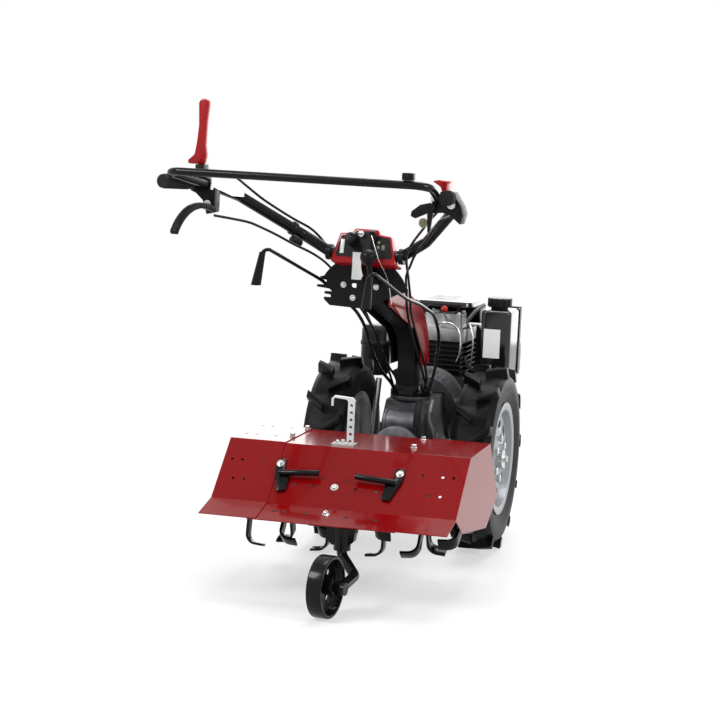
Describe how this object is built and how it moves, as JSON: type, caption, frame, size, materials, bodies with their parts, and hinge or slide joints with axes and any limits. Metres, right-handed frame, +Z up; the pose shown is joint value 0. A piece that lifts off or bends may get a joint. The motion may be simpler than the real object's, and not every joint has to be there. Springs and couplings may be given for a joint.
{
  "type": "walking tractor with rotary tiller",
  "caption": "Two-wheel walking tractor with an engine over farm tyres, raised handlebars with levers, and a hooded rotary tiller with a castor depth wheel.",
  "frame": {"origin": "centre of the machine's footprint box, on the floor", "axes": "+Y forward, the way the machine drives, +X to the machine's right, +Z up"},
  "size_m": [0.8028, 1.6999, 1.328],
  "materials": {
    "black_plastic": "black moulded plastic",
    "grey_casting": "grey cast alloy",
    "black_steel": "black gloss paint",
    "red_paint": "glossy red paint",
    "red_plastic": "glossy red plastic",
    "engine_alloy": "bare cast alloy",
    "zinc": "zinc-plated steel",
    "black_sheet": "black powder coat",
    "black_rubber": "ribbed black rubber",
    "rim_silver": "silver paint",
    "grey_iron": "dark painted cast iron",
    "tyre_rubber": "matt black tyre rubber"
  },
  "bodies": {
    "chassis": {"air_cleaner": "black_plastic", "clutch_housing": "grey_casting", "cylinder_head": "engine_alloy", "depth_adjust_bar": "zinc", "depth_wheel_bracket": "black_steel", "engine_crankcase": "engine_alloy", "engine_cylinder": "engine_alloy", "fan_shroud": "black_sheet", "fuel_tank": "black_plastic", "hood_latches": "black_steel", "hood_wing_left": "red_paint", "hood_wing_right": "red_paint", "implement_coupling": "grey_casting", "intake_duct": "engine_alloy", "link_rod": "zinc", "muffler": "black_sheet", "recoil_starter": "black_sheet", "tank_bracket": "black_sheet", "tank_cap": "black_plastic", "tiller_gear_case": "grey_iron", "tiller_hood": "red_paint", "top_cowl": "black_sheet", "transmission_case": "grey_casting"},
    "left_wheel": {"tyre_left": "tyre_rubber", "rim_left": "rim_silver", "half_shaft_left": "zinc"},
    "right_wheel": {"tyre_right": "tyre_rubber", "rim_right": "rim_silver", "half_shaft_right": "zinc"},
    "rotor": {"tiller_rotor": "black_steel"},
    "castor": {"depth_wheel_strut": "black_steel"},
    "castor_wheel": {"depth_wheel": "black_steel"},
    "handlebar": {"turret": "black_steel", "column": "black_steel", "column_cover": "red_paint", "gate_plate": "black_sheet", "console_housing": "red_plastic", "console_panel": "black_plastic", "handlebar_tubes": "black_steel", "grips": "black_rubber", "safety_bar": "black_steel", "loop_brackets": "zinc", "red_levers": "red_plastic", "hand_levers": "black_plastic", "lever_clamps": "black_plastic", "selector_rods": "black_steel", "selector_grips": "black_plastic", "knob_lever": "black_plastic", "strap_lever": "zinc", "handlebar_cables": "black_plastic", "throttle_lever": "black_plastic", "head_bracket": "black_steel", "bar_collars": "black_plastic"}
  },
  "joints": [
    {"name": "left_wheel_spin", "type": "hinge", "parent": "chassis", "child": "left_wheel", "pos_m": [-0.15275, 0.325, 0.28], "axis": [1, 0, 0], "continuous": true},
    {"name": "right_wheel_spin", "type": "hinge", "parent": "chassis", "child": "right_wheel", "pos_m": [0.29925, 0.325, 0.28], "axis": [1, 0, 0], "continuous": true},
    {"name": "rotor_spin", "type": "hinge", "parent": "chassis", "child": "rotor", "pos_m": [0.05125, -0.235, 0.22], "axis": [1, 0, 0], "continuous": true},
    {"name": "castor_swivel", "type": "hinge", "parent": "chassis", "child": "castor", "pos_m": [0.10025, -0.578, 0.15], "axis": [0, 0, 1], "range_deg": [-37, 53]},
    {"name": "castor_wheel_spin", "type": "hinge", "parent": "castor", "child": "castor_wheel", "pos_m": [0.07979, -0.72357, 0.083], "axis": [0.9903, -0.1392, 0], "continuous": true},
    {"name": "handlebar_swing", "type": "hinge", "parent": "chassis", "child": "handlebar", "pos_m": [0.07325, 0.265, 0.462], "axis": [0, 0, 1], "range_deg": [-25.9, 34.1]}
  ]
}
